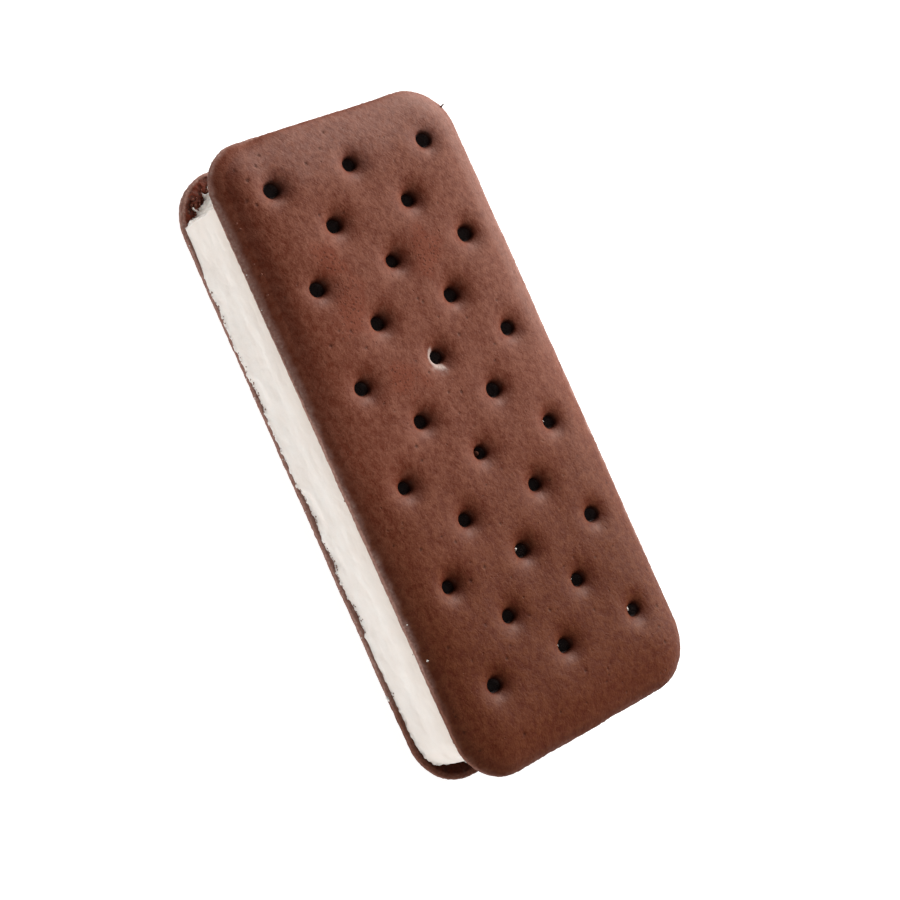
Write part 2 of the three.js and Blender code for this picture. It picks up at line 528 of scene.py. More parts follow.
def sculptWafer(piece, size, plate, pressed):
    bm = bmesh.new()
    bm.from_mesh(piece.data)
    relax(bm, bm.verts, wafer["relaxed"])
    tree = pressed["holeTree"]
    reach = wafer["softenReach"] * wafer["mouth"]
    mouths = [vert for vert in bm.verts if vert.co.z > wafer["softenFrom"] * size.z
              and tree.find((vert.co.x, vert.co.y, 0))[2] < reach]
    for _ in range(wafer["soften"]):
        relax(bm, mouths, wafer["relaxed"])
    bm.normal_update()
    seed = plate["seed"]
    for vert in bm.verts:
        x, y, z = vert.co
        flat = Vector((x, y, 0))
        outer = min(max((z - wafer["innerFlat"]) / (size.z - wafer["innerFlat"]), 0), 1)
        rim = rimDistance(x, y, size, plate)
        droop = smoothStep(*wafer["droopAcross"], -y)
        crown = wafer["crown"] * max(1 - max(rim, 0) / wafer["crownReach"], 0) ** 3
        crown *= 1 + wafer["droop"] * droop * fadeOut(*wafer["droopAlong"], x)
        swell = ripple(wafer["swell"], flat, seed)
        fine = twoWaves(vert.co, wafer["leatherSizes"], seed + 1)
        pit = wafer["pitDepth"] * pitDepth(flat, pressed)
        raised = frost["height"] * frostAmount(flat) if plate["frosted"] else 0
        outward = Vector((vert.normal.x, vert.normal.y, 0))
        upright = fadeOut(0, wafer["sideReach"], rim) * fadeOut(0.5 * size.z, size.z, z)
        rough = ripple(wafer["crumbly"], vert.co, seed + 3)
        if z < wafer["innerFace"]:
            crumbly = twoWaves(vert.co, wafer["bareSizes"], seed + 5)
            vert.co.z += wafer["bareRough"] * bareAmount(flat, rim, plate) * crumbly
        vert.co.z -= outer * (pinSink(flat, pressed) + crown - swell)
        relief = wafer["leather"] * fine - pit * outer + raised
        vert.co += vert.normal * smoothStep(*wafer["leatherFrom"], outer) * relief
        if rim < wafer["sideReach"] and outward.length > 0.01:
            bulge = sideBulge(outward, plate) + ripple(wafer["wander"], flat, seed + 4) + rough
            vert.co += outward * upright * bulge
    bm.to_mesh(piece.data)
    bm.free()


# Painted sheen beside a hole and over the end at -X
def paintedSheenAmount(flat, middle):
    away = flat - middle - paintedSheen["from"]
    beside = (away.x / paintedSheen["size"][0]) ** 2 + (away.y / paintedSheen["size"][1]) ** 2
    x = flat.x + ripple(paintedSheen["endRagged"], flat, seeds["sheenEnd"])
    end = fadeOut(paintedSheen["end"] - paintedSheen["endFade"], paintedSheen["end"], x)
    end *= smoothStep(*paintedSheen["endAcross"], flat.y - paintedSheen["endSlant"] * (flat.x - paintedSheen["slantFrom"]))
    usual, wavering = paintedSheen["patchiness"]
    patchiness = max(usual + wavering * waves(flat, paintedSheen["powder"], seeds["powder"]), 0)
    return max(paintedSheen["amount"] * math.exp(-beside), paintedSheen["amount"] * end) * patchiness


# Painted shade: darker on the far side of a hole, and in a band along the front shoulder
def paintedShadeAmount(flat, middle, rim):
    far = (flat - middle - paintedShade["from"]).length / paintedShade["size"]
    off = (rim - paintedShade["band"]) / paintedShade["bandWidth"]
    band = smoothStep(*paintedShade["bandAcross"], -flat.y) * fadeOut(*paintedShade["bandAlong"], flat.x)
    return max(math.exp(-far * far), paintedShade["bandDark"] * band * math.exp(-off * off))


def dustAndLightAmount(place, rim):
    # How pale the crust is here: frost and crumb on the side with painted light on it, and painted sheen
    # over the rim
    x, y, z = place
    ragged = ripple(dustAndPaintedLight["ragged"], place, seeds["dustAndPaintedLight"], detail=2)
    band = dustAndPaintedLight["band"] - dustAndPaintedLight["lower"] * smoothStep(*dustAndPaintedLight["lowerFrom"], -x)
    upright = fadeOut(band, band + dustAndPaintedLight["fade"], z + ragged)
    upright *= fadeOut(0, dustAndPaintedLight["depth"], rim)
    dustAndLight = dustAndPaintedLight["rim"] * fadeOut(*dustAndPaintedLight["rimReach"], rim + ragged)
    farRim = smoothStep(*dustAndPaintedLight["farAcross"], y) * fadeOut(*dustAndPaintedLight["farAlong"], x)
    dustAndLight += dustAndPaintedLight["far"] * farRim * fadeOut(*dustAndPaintedLight["farReach"], rim + ragged)
    clean = dustAndPaintedLight["clean"] * smoothStep(*dustAndPaintedLight["cleanFrom"], x)
    return max(upright * (1 - clean), dustAndLight)


def markWafer(piece, size, plate, pressed):
    # Where the crust is drawn down, where it is the pale upright side, frost with painted light on it, or
    # its inner face, where it carries painted shade or painted sheen, and where it is pitted, grainy or
    # frosty
    marks = {}
    deepest = wafer["dimple"] + wafer["lip"]
    for vert in piece.data.vertices:
        x, y, z = vert.co
        flat = Vector((x, y, 0))
        rim = rimDistance(x, y, size, plate)
        sink = pinSink(flat, pressed)
        _, index, away = pressed["holeTree"].find(flat)
        hole = pressed["holes"][index]
        hollow = sink / deepest
        if away < hole["grow"] * wafer["mouth"] * wafer["wall"]:
            below = (size.z - sink - z) / size.z
            hollow = 1 + max(below, 0) * wafer["wallMark"]
        outer = z > 0.5 * size.z
        pitted = pitDepth(flat, pressed) if outer else 0
        face = smoothStep(*paintedSheen["faceFrom"], z / size.z) * (1 - pitted)
        nearRim = fadeOut(*frost["down"], hollow)
        wandering = ripple(wafer["grainyRagged"], flat, seeds["grainyEdge"]) if plate["grainy"] else 0
        spot = {
            "hollow": hollow,
            "side": dustAndLightAmount(vert.co, rim),
            "inner": fadeOut(*wafer["innerUp"], z) * smoothStep(*wafer["innerIn"], rim),
            "shadePainted": paintedShadeAmount(flat, hole["middle"], rim) if outer else 0,
            "pitted": pitted,
            "grainy": spotAmount(flat, plate["grainy"], wafer["grainyFull"], wandering),
            "paintedSheen": face * paintedSheenAmount(flat, hole["middle"]),
            "frosty": nearRim * frostAmount(flat) if plate["frosted"] and outer else 0,
        }
        for name, value in spot.items():
            marks.setdefault(name, []).append(value)
    for name, values in marks.items():
        writeMark(piece, name, values)


def makeWafer(node, plate, material):
    low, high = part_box(node)
    size = high - low
    dice = random.Random(plate["seed"])
    holes = dockingHoles(dice)
    pits = allPits(size, plate, dice)
    pressed = {
        "holes": holes,
        "holeTree": spotTree([hole["middle"] for hole in holes]),
        "pits": pits,
        "pitTree": spotTree([pit["place"] for pit in pits]),
    }
    piece = newObject(node + "_crust", plainPlate(size, plate))
    pins = newObject("pins", dockingPins(holes, size, dice))
    cut = piece.modifiers.new("holes", "BOOLEAN")
    cut.operation = "DIFFERENCE"
    cut.solver = "EXACT"
    cut.object = pins
    bakeModifiers(piece)
    bpy.data.objects.remove(pins)
    remesh(piece, wafer["voxel"])
    sculptWafer(piece, size, plate, pressed)
    thin(piece, wafer["triangles"])
    markWafer(piece, size, plate, pressed)
    if plate["turned"]:
        for vert in piece.data.vertices:
            vert.co.z = min(vert.co.z, size.z)  # what it lies on is flat
        yaw = Matrix.Rotation(math.radians(wafer["yaw"]), 4, "Z")
        piece.data.transform(yaw @ Matrix.Rotation(math.pi, 4, "X"))
    middle = (low + high) / 2
    piece.data.transform(Matrix.Translation((middle.x, middle.y, high.z if plate["turned"] else low.z)))
    finishPiece(piece, material, "wafer", node)
    return piece


# Ice cream: the slab between the wafers, cut clean, with one corner torn off and its lower edge smeared

cream = {
    "seed": 31,
    "right": 55.0 * mm,  # its end at +X
    "corners": {(-1, -1): 6.2 * mm, (1, -1): 5.2 * mm, (1, 1): 6.2 * mm, (-1, 1): 6.2 * mm},
    "cornerSteps": 10,
    "grip": 0.25 * mm,  # how far it reaches into each wafer's inner face
    "relaxed": 0.4,  # how much its faces are smoothed before the unevenness
    # The torn corner
    "tearStart": Vector((-58.2, -14.4, 0)) * mm,
    "tearEnd": Vector((-50.7, -28.0, 0)) * mm,
    "tearDepth": 9 * mm,
    "tearRough": 0.55 * mm,
    "tearSize": 1.3 * mm,
    "tearBias": 0.2,  # it is more pitted than lumpy
    "tearFacing": (0.75, 0.95),  # how nearly a face has to face out from the tear to be torn
    "tearHollow": 0.5 * mm,
    "hollowAt": 0.78,  # as a part of the tear's length
    "hollowReach": 0.28,
    # Strands left on the lower wafer: where along the tear, and how long in mm
    "strands": [(0.50, 1.5), (0.57, 1.0), (0.63, 1.7), (0.69, 1.2), (0.44, 1.2), (0.36, 1.2)],
    "strandRoot": 0.4,  # how far inside the tear they start, in mm
    "strandUp": (0.1, 0.4),  # and how high, in mm
    "strandSpread": 0.8,
    "strandRadius": (0.24, 0.32),
    "strandTaper": 0.94,
    "strandTurn": 0.45,
    "tornBits": 20,
    "tornBitRadius": (0.2, 0.36),
    "tornBitAlong": (0.3, 0.8),
    "tornBitOut": 0.35,
    # Unevenness, as the height and the size of its waves
    "swell": (0.16 * mm, 5 * mm),
    "streak": (0.07 * mm, 1.6 * mm),
    "streakStretch": 0.3,
    "grain": (0.025 * mm, 0.8 * mm),
    # Where it was dragged down over the lower wafer's edge
    "smearFrom": -43 * mm,
    "smearTo": 13 * mm,
    "smearEnd": 42 * mm,
    "smearFade": (5 * mm, 8 * mm),
    "smearDown": 0.3 * mm,
    "smearSize": 2.2 * mm,
    "smearRagged": (0.55, 0.5),  # how much of that depth on average, and how much that wavers
    "smearChance": (0.15, 0.5),  # how often there is a smear: everywhere, and more where it was dragged
    "smearOut": (-0.05, 0.1),  # in mm
    "smearDrop": 0.2 * mm,
    "smearStep": (0.3, 0.6),
    "smearRadius": (0.2, 0.32),
    "flare": 0.42 * mm,  # how far its side leans out over that edge
    "flareHeight": 6 * mm,
    # As parts of that: in at -X, out along the middle, more where it is smeared, and in again at +X
    "leanIn": 0.5,
    "leanOut": 1.1,
    "leanOutFrom": (-48 * mm, -39 * mm),
    "leanSmeared": 0.4,
    "leanBack": 1.3,
    "leanBackFrom": (45 * mm, 51 * mm),
    # Where that edge draws back: X, half width and how far, in mm
    "drawnBack": [(-35, 4, 0.2), (-18.5, 3.5, 0.3), (4.5, 5.5, 0.63), (13, 3.5, 0.5), (24, 3.5, 0.38)],
    "drawnBackFull": 0.3,  # as a part of the half width
    "drawnBackRagged": (1.5 * mm, 2 * mm),
    "drawnBackHeight": (1 * mm, 3.5 * mm),
    # Bites out of its foot at +X, and teeth right at the joint
    "scallop": 0.3 * mm,
    "scallopFrom": 40 * mm,
    "scallopRise": 3 * mm,
    "scallopRange": (-0.1, 0.35),
    "scallopHeight": (0.3 * mm, 1.4 * mm),
    "scallopSize": 1.1 * mm,
    "jagged": 0.35 * mm,
    "jaggedFrom": (10 * mm, 16 * mm),
    "jaggedHeight": (0.2 * mm, 0.9 * mm),
    "jaggedSize": 0.7 * mm,
    # What was left on the lower half of its end at +X
    "ledge": 1.5 * mm,
    "ledgeFrom": -20.9 * mm,
    "ledgeStart": 1.3 * mm,
    "ledgeFade": (6 * mm, 22 * mm),
    "ledgeHeight": (2 * mm, 8 * mm),
    "voxel": 0.3 * mm,
    "triangles": 170000,
}


def tearDirections():
    along = (cream["tearEnd"] - cream["tearStart"]).normalized()
    return along, Vector((along.y, -along.x, 0))


def plainSlab(low, high):
    bm = bmesh.new()
    bmesh.ops.create_cube(bm, size=1)
    bmesh.ops.scale(bm, vec=high - low, verts=bm.verts)
    bmesh.ops.translate(bm, vec=(low + high) / 2, verts=bm.verts)
    for (right, back), radius in cream["corners"].items():
        corner = Vector((high.x if right > 0 else low.x, high.y if back > 0 else low.y))
        roundCorner(bm, corner, radius, cream["cornerSteps"])
    along = cream["tearEnd"] - cream["tearStart"]
    outwards = Vector((along.y, -along.x, 0))
    cut = bmesh.ops.bisect_plane(bm, geom=bm.verts[:] + bm.edges[:] + bm.faces[:], dist=0.001 * mm,
                                 plane_co=cream["tearStart"], plane_no=outwards, clear_outer=True)
    bmesh.ops.edgeloop_fill(bm, edges=[e for e in cut["geom_cut"] if isinstance(e, bmesh.types.BMEdge)])
    bmesh.ops.recalc_face_normals(bm, faces=bm.faces)
    return bm


def smearAmount(x):
    # How much of it was dragged down here
    rise, fall = cream["smearFade"]
    return smoothStep(0, rise, x - cream["smearFrom"]) * fadeOut(0, fall, x - cream["smearTo"])


def leanAmount(x):
    # How much its side leans out over the lower wafer's edge here, or in from it where negative
    left = cream["leanOut"] * smoothStep(*cream["leanOutFrom"], x) - cream["leanIn"]
    right = cream["leanBack"] * smoothStep(*cream["leanBackFrom"], x)
    return left - right + cream["leanSmeared"] * smearAmount(x)


def drawBack(x):
    most = 0
    for middle, reach, depth in cream["drawnBack"]:
        most = max(most, depth * mm * fadeOut(cream["drawnBackFull"] * reach, reach, abs(x / mm - middle)))
    return most


def footEdge(flat, up):
    # The bites and teeth of its lower edge, out from the joint
    foot = fadeOut(*cream["scallopHeight"], up)
    bitten = foot * smoothStep(0, cream["scallopRise"], flat.x - cream["scallopFrom"])
    bite = smoothStep(*cream["scallopRange"], waves(flat, cream["scallopSize"], seeds["bites"], detail=2))
    teeth = fadeOut(*cream["jaggedHeight"], up)
    jagged = cream["jagged"] * teeth * smoothStep(*cream["jaggedFrom"], flat.x)
    tooth = waves(flat, cream["jaggedSize"], seeds["teeth"], detail=1)
    return -cream["scallop"] * bite * bitten + jagged * tooth


def ledgeDepth(y, up):
    across = y - cream["ledgeFrom"]
    lower = fadeOut(*cream["ledgeHeight"], up)
    return cream["ledge"] * lower * smoothStep(0, cream["ledgeStart"], across) \
        * fadeOut(*cream["ledgeFade"], across)


def addSmears(bm, low, dice):
    # Bits of ice cream dragged over the lower wafer's edge, close together at first and then here and there
    usual, wavering = cream["smearRagged"]
    everywhere, dragged = cream["smearChance"]
    x = cream["smearFrom"]
    while x < cream["smearEnd"]:
        thick = smearAmount(x)
        ragged = usual + wavering * waves(Vector((x, 0, 0)), cream["smearSize"], seeds["smears"])
        smeared = dice.random() < everywhere + dragged * thick
        reach = cream["smearDown"] * thick * ragged if smeared else 0
        down = 0
        while down < reach:
            place = Vector((x, low.y - dice.uniform(*cream["smearOut"]) * mm, low.z - down))
            lump(bm, place, dice.uniform(*cream["smearRadius"]) * mm, dice, rings=1)
            down += cream["smearDrop"]
        x += dice.uniform(*cream["smearStep"]) * mm


def addStrands(bm, low, dice):
    # Short strands and bits that the corner left behind on the lower wafer as it tore away
    along, outwards = tearDirections()
    length = (cream["tearEnd"] - cream["tearStart"]).length
    root, spread = cream["strandRoot"], cream["strandSpread"]
    for part, reach in cream["strands"]:
        place = cream["tearStart"] + along * part * length - outwards * root * mm
        place.z = low.z + dice.uniform(*cream["strandUp"]) * mm
        heading = outwards + along * dice.uniform(-spread, spread)
        radius = dice.uniform(*cream["strandRadius"]) * mm
        done = 0
        while done < reach + root:
            lump(bm, place, radius, dice, rings=1)
            place += heading.normalized() * radius
            heading += along * dice.uniform(-cream["strandTurn"], cream["strandTurn"])
            done += radius / mm
            radius *= cream["strandTaper"]
    for _ in range(cream["tornBits"]):
        place = cream["tearStart"].lerp(cream["tearEnd"], dice.uniform(*cream["tornBitAlong"]))
        place += outwards * (dice.expovariate(1 / cream["tornBitOut"]) - root) * mm
        radius = dice.uniform(*cream["tornBitRadius"]) * mm
        lump(bm, (place.x, place.y, low.z + 0.5 * radius), radius, dice, rings=1)


def sculptCream(bm, low):
    # how much the torn face is painted lighter: painted light on a face that the lamps hardly reach
    tornPaintedLight = bm.verts.layers.float.new("tornPaintedLight")
    along, outwards = tearDirections()
    tearLength = (cream["tearEnd"] - cream["tearStart"]).length
    for vert in bm.verts:
        x, y, z = vert.co
        up = z - low.z
        side = 1 - abs(vert.normal.z)
        inside = (cream["tearStart"] - vert.co).dot(outwards)
        nearTear = fadeOut(0, cream["tearDepth"], inside)
        torn = smoothStep(*cream["tearFacing"], vert.normal.dot(outwards) * nearTear)
        vert[tornPaintedLight] = torn
        swell = ripple(cream["swell"], vert.co, seeds["creamSwell"])
        stretched = Vector((x * cream["streakStretch"], y * cream["streakStretch"], z))
        streak = ripple(cream["streak"], stretched, seeds["creamStreaks"])
        grain = ripple(cream["grain"], vert.co, seeds["creamGrain"])
        rough = cream["tearRough"] * (waves(vert.co, cream["tearSize"], seeds["tear"]) - cream["tearBias"])
        part = (vert.co - cream["tearStart"]).dot(along) / tearLength
        hollow = max(1 - ((part - cream["hollowAt"]) / cream["hollowReach"]) ** 2, 0)
        edge = footEdge(Vector((x, y, 0)), up)
        if vert.normal.x > 0.5:
            edge += ledgeDepth(y, up)
        vert.co -= outwards * cream["tearHollow"] * hollow * torn
        if vert.normal.y < -0.5:
            lean = fadeOut(0, cream["flareHeight"], up)
            vert.co.y -= cream["flare"] * leanAmount(vert.co.x) * lean
            ragged = vert.co.x + ripple(cream["drawnBackRagged"], vert.co, seeds["drawnBack"])
            vert.co.y += drawBack(ragged) * fadeOut(*cream["drawnBackHeight"], up)
        vert.co += vert.normal * side * (swell + streak + grain + edge + torn * rough)


def makeCream(material):
    low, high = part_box("ice_cream")
    low, high = Vector(low), Vector(high)
    high.x = cream["right"]
    low.z -= cream["grip"]
    high.z += cream["grip"]
    dice = random.Random(cream["seed"])
    bm = plainSlab(low, high)
    low.z += cream["grip"]
    addSmears(bm, low, dice)
    addStrands(bm, low, dice)
    piece = newObject("cream_slab", bm)
    remesh(piece, cream["voxel"])
    bm = bmesh.new()
    bm.from_mesh(piece.data)
    dropLoose(bm)
    relax(bm, bm.verts, cream["relaxed"])
    bm.normal_update()
    sculptCream(bm, low)
    bm.to_mesh(piece.data)
    bm.free()
    thin(piece, cream["triangles"])
    finishPiece(piece, material, "ice_cream", "ice_cream")
    return piece


# Wafer crumbs: on the joints, in the torn corner, in a hole and on the rim. Radii are in mm

crumbs = {
    "seed": 41,
    "sideCount": 26,
    "sideRadius": (0.1, 0.22),
    "sideUp": (0.1, 0.3, 2),  # least, usual and most height above the joint
    "sideReach": (52 * mm, 22 * mm),  # how far they lie from the middles of the long sides and the ends
    "sideSpread": 0.95,  # at most this part of that
    "upperShare": 0.2,  # how many of them lie below the upper wafer instead
    "jointCount": 50,  # on the smeared joint
    "jointRadius": (0.07, 0.15),
    "jointUp": (-0.1, 0.3),
    "jointPast": 6 * mm,
    "edgeCount": 12,  # at each place where the ice cream's lower edge draws back
    "edgeRadius": (0.1, 0.22),
    "edgeUp": (-0.1, 0.6),
    "tornCount": 40,
    "tornRadius": (0.12, 0.34),
    "tornAlong": (0.3, 0.85),
    "tornOut": 0.5,
    "tornIn": 0.3,
    "tornUp": 0.6,  # as a part of the radius
    # A row on the upper wafer's side: X and Z
    "rimRow": [(-46.5, 16.6), (-45.4, 16.7), (-38.9, 16.5), (-36.8, 16.7), (-33.1, 16.5)],
    "rimRadius": 0.22,
    # One that fell into a hole
    "inHole": (6, 1),
    "inHoleFrom": Vector((-0.3, 0.1, 0)) * mm,
    "inHoleUp": 1.1 * mm,
    "inHoleRadius": 0.75,
    # A flake that stands on the far corner
    "flakeAt": (-54.6, 27.3),
    "flakeSteps": 5,
    "flakeStep": 0.22,
    "flakeRadius": 0.3,
    "flakeTaper": 0.05,
    # How frosty and pale they are painted: on the smeared joint, on top, and elsewhere; partly frost,
    # partly painted light, since such small crumbs fall into their own shade
    "frosty": (0.8, 0.5, 0.1),
    "frostyBelow": 1.2 * mm,
    "frostyAbove": 2 * mm,
}

# Where a line towards the sandwich starts, beside it and past its ends, in mm
outside = 60
pastEnds = 90
inwards = Vector((0, 1, 0))  # from the front


def lineToSide(dice, z):
    # A line towards one of the four sides, the shown long side more often than the others
    heading = dice.choice(["front", "front", "front", "back", "left", "right"])
    part = dice.uniform(-crumbs["sideSpread"], crumbs["sideSpread"])
    along, across = (part * reach for reach in crumbs["sideReach"])
    return {
        "front": (Vector((along, -outside * mm, z)), inwards),
        "back": (Vector((along, outside * mm, z)), -inwards),
        "left": (Vector((-pastEnds * mm, across, z)), Vector((1, 0, 0))),
        "right": (Vector((pastEnds * mm, across, z)), Vector((-1, 0, 0))),
    }[heading]


def addWhereMet(bm, piece, line, radius, dice, rings=1):
    # A lump where a line first meets the piece, with this radius or one from this range
    hit, place, _, _ = piece.ray_cast(*line)
    if hit:
        size = dice.uniform(*radius) if isinstance(radius, tuple) else radius
        lump(bm, place, size * mm, dice, rings)


def makeWaferCrumbs(slab, topWafer, material):
    low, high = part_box("ice_cream")
    dice = random.Random(crumbs["seed"])
    bm = bmesh.new()
    least, usual, most = crumbs["sideUp"]
    for _ in range(crumbs["sideCount"]):
        up = min(dice.expovariate(1 / usual) + least, most) * mm
        z = high.z - up if dice.random() < crumbs["upperShare"] else low.z + up
        addWhereMet(bm, slab, lineToSide(dice, z), crumbs["sideRadius"], dice)
    for _ in range(crumbs["jointCount"]):
        x = dice.uniform(cream["smearFrom"], cream["smearTo"] + crumbs["jointPast"])
        start = Vector((x, -outside * mm, low.z + dice.uniform(*crumbs["jointUp"]) * mm))
        addWhereMet(bm, slab, (start, inwards), crumbs["jointRadius"], dice)
    for middle, reach, _ in cream["drawnBack"]:
        for _ in range(crumbs["edgeCount"]):
            x = (middle + dice.uniform(-1, 1) * reach) * mm
            start = Vector((x, -outside * mm, low.z + dice.uniform(*crumbs["edgeUp"]) * mm))
            addWhereMet(bm, slab, (start, inwards), crumbs["edgeRadius"], dice)
    _, outwards = tearDirections()
    for _ in range(crumbs["tornCount"]):
        place = cream["tearStart"].lerp(cream["tearEnd"], dice.uniform(*crumbs["tornAlong"]))
        place += outwards * (dice.expovariate(1 / crumbs["tornOut"]) - crumbs["tornIn"]) * mm
        radius = dice.uniform(*crumbs["tornRadius"]) * mm
        lump(bm, (place.x, place.y, low.z + radius * crumbs["tornUp"]), radius, dice, rings=1)
    for x, z in crumbs["rimRow"]:
        addWhereMet(bm, topWafer, (Vector((x, -outside, z)) * mm, inwards), crumbs["rimRadius"], dice)
    inHole = holeCentre(*crumbs["inHole"]) + crumbs["inHoleFrom"]
    lump(bm, inHole + Vector((0, 0, high.z + crumbs["inHoleUp"])), crumbs["inHoleRadius"] * mm, dice)
    hit, place, normal, _ = topWafer.ray_cast(Vector((*crumbs["flakeAt"], 30)) * mm, Vector((0, 0, -1)))
    if hit:
        for step in range(crumbs["flakeSteps"]):
            radius = (crumbs["flakeRadius"] - crumbs["flakeTaper"] * step) * mm
            lump(bm, place + normal * (crumbs["flakeStep"] * step * mm), radius, dice, rings=1)
    piece = newObject("wafer_crumbs", bm)
    # paler crumbs: partly frost, partly painted light against their own shade
    smearedFrost, topFrost, plainFrost = crumbs["frosty"]
    frosty = []
    for vert in piece.data.vertices:
        smeared = vert.co.z < low.z + crumbs["frostyBelow"] and vert.co.x > cream["smearFrom"]
        onTop = vert.co.z > high.z + crumbs["frostyAbove"]
        frosty.append(smearedFrost if smeared else topFrost if onTop else plainFrost)
    writeMark(piece, "frosty", frosty)
    finishPiece(piece, material, "wafer")


# Bits of ice cream on the wafers, with radii in mm

bits = {
    "seed": 43,
    "count": 45,
    "radius": (0.08, 0.18),
    "topHeight": 15.3,  # where most of them lie on the two wafers' sides, in mm, and how much that differs
    "bottomHeights": (3.3, 3.0),
    "heightVary": 0.25,
    # On the upper and the lower wafer's front side: X, Z and radius
    "onTop": [(35.6, 16.7, 0.2), (28.5, 16.3, 0.16)],
    "onBottom": [(39.7, 3.2, 0.42)],
    # On the front wall of some holes of the upper wafer: row, place and radius
    "inHoles": [(8, 1, 0.3), (9, 1, 0.2), (10, 2, 0.42), (10, 1, 0.16), (6, 2, 0.2)],
    "inHolesUp": 1.7 * mm,
    "towardsWall": Vector((-0.5, -0.87, 0)),
    "offWall": 0.2,  # as a part of the way back to the hole's middle
}


def makeCreamBits(topWafer, bottomWafer, material):
    _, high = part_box("ice_cream")
    dice = random.Random(bits["seed"])
    bm = bmesh.new()
    for piece, spots in ((topWafer, bits["onTop"]), (bottomWafer, bits["onBottom"])):
        for x, z, radius in spots:
            addWhereMet(bm, piece, (Vector((x, -outside, z)) * mm, inwards), radius, dice, rings=2)
    for row, place, radius in bits["inHoles"]:
        start = holeCentre(row, place) + Vector((0, 0, high.z + bits["inHolesUp"]))
        hit, wall, _, _ = topWafer.ray_cast(start, bits["towardsWall"])
        if hit:
            lump(bm, wall.lerp(start, bits["offWall"]), radius * mm, dice)
    sides = [(topWafer, bits["topHeight"])] + [(bottomWafer, height) for height in bits["bottomHeights"]]
    for _ in range(bits["count"]):
        piece, height = dice.choice(sides)
        height += dice.uniform(-bits["heightVary"], bits["heightVary"])
        addWhereMet(bm, piece, lineToSide(dice, height * mm), bits["radius"], dice)
    piece = newObject("cream_bits", bm)
    finishPiece(piece, material, "ice_cream")


# Materials

